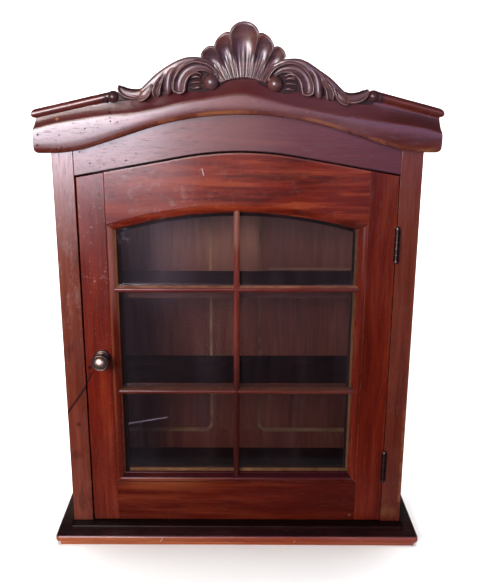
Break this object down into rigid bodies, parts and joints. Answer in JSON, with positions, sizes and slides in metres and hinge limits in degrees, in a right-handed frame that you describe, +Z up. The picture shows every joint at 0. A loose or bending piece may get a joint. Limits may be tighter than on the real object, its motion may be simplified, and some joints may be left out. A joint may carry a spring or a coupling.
{
  "type": "display case",
  "caption": "Small glazed wooden display case with an arched, carved cornice, shelves and one hinged door with a knob, for a table or a wall.",
  "frame": {"origin": "on the surface that the case stands on, centred in width and in depth", "axes": "+X to the viewer's right, +Y from the door towards the back, +Z up"},
  "size_m": [0.437, 0.156, 0.5983],
  "materials": {
    "mahogany_case": "satin, rubbed shellac over red-brown mahogany",
    "mahogany_cornice": "glossy polish, small pits and scratches",
    "mahogany_carving": "dark stained, wax on the high points",
    "mahogany_door": "glossy red-brown polish",
    "mahogany_moulding": "glossy, lighter on the edges",
    "mahogany_base": "glossy, darker top",
    "inside_wood": "dull brown stain",
    "raw_bead_wood": "bare, unpolished",
    "window_glass": "clear sheet glass",
    "aged_bronze": "antique, dark",
    "dark_brass": "aged brass",
    "screw_steel": "plain",
    "catch_white": "brown moulded"
  },
  "bodies": {
    "case": {"front_post_left": "mahogany_case", "front_post_right": "mahogany_case", "side_left": "mahogany_case", "side_right": "mahogany_case", "frieze_rail": "mahogany_case", "top_board": "mahogany_case", "cornice_front": "mahogany_cornice", "cornice_return_left": "mahogany_cornice", "cornice_return_right": "mahogany_cornice", "crest_shell": "mahogany_carving", "crest_scroll_left": "mahogany_carving", "crest_scroll_right": "mahogany_carving", "base_board": "mahogany_base", "base_step": "mahogany_base", "base_underlay": "mahogany_base", "floor_board": "inside_wood", "shelf_lower": "inside_wood", "shelf_upper": "inside_wood", "back_stile_left": "inside_wood", "back_stile_right": "inside_wood", "back_stile_centre": "inside_wood", "back_rail_top": "inside_wood", "back_rail_bottom": "inside_wood", "back_panel_left": "inside_wood", "back_panel_right": "inside_wood", "hinge_leaves_case": "dark_brass", "hinge_pins": "dark_brass", "hinge_screws_case": "screw_steel", "catch_screws": "screw_steel", "hanger_plates": "screw_steel", "hanger_screws": "screw_steel", "magnetic_catch": "catch_white"},
    "door": {"door_stile_left": "mahogany_door", "door_stile_right": "mahogany_door", "door_rail_top": "mahogany_door", "door_rail_bottom": "mahogany_door", "muntin_vertical": "mahogany_moulding", "muntin_cross_bars": "mahogany_moulding", "glass_pane": "window_glass", "glazing_bead_left": "raw_bead_wood", "glazing_bead_right": "raw_bead_wood", "glazing_bead_top": "raw_bead_wood", "glazing_bead_bottom": "raw_bead_wood", "knob_rose": "aged_bronze", "knob_head": "aged_bronze", "knob_screw": "screw_steel", "hinge_leaves_door": "dark_brass", "hinge_screws_door": "screw_steel", "strike_plate": "screw_steel"}
  },
  "joints": [
    {"name": "door_hinge", "type": "hinge", "parent": "case", "child": "door", "pos_m": [0.1761, -0.056, 0.22925], "axis": [0, 0, 1], "range_deg": [0, 170]}
  ]
}
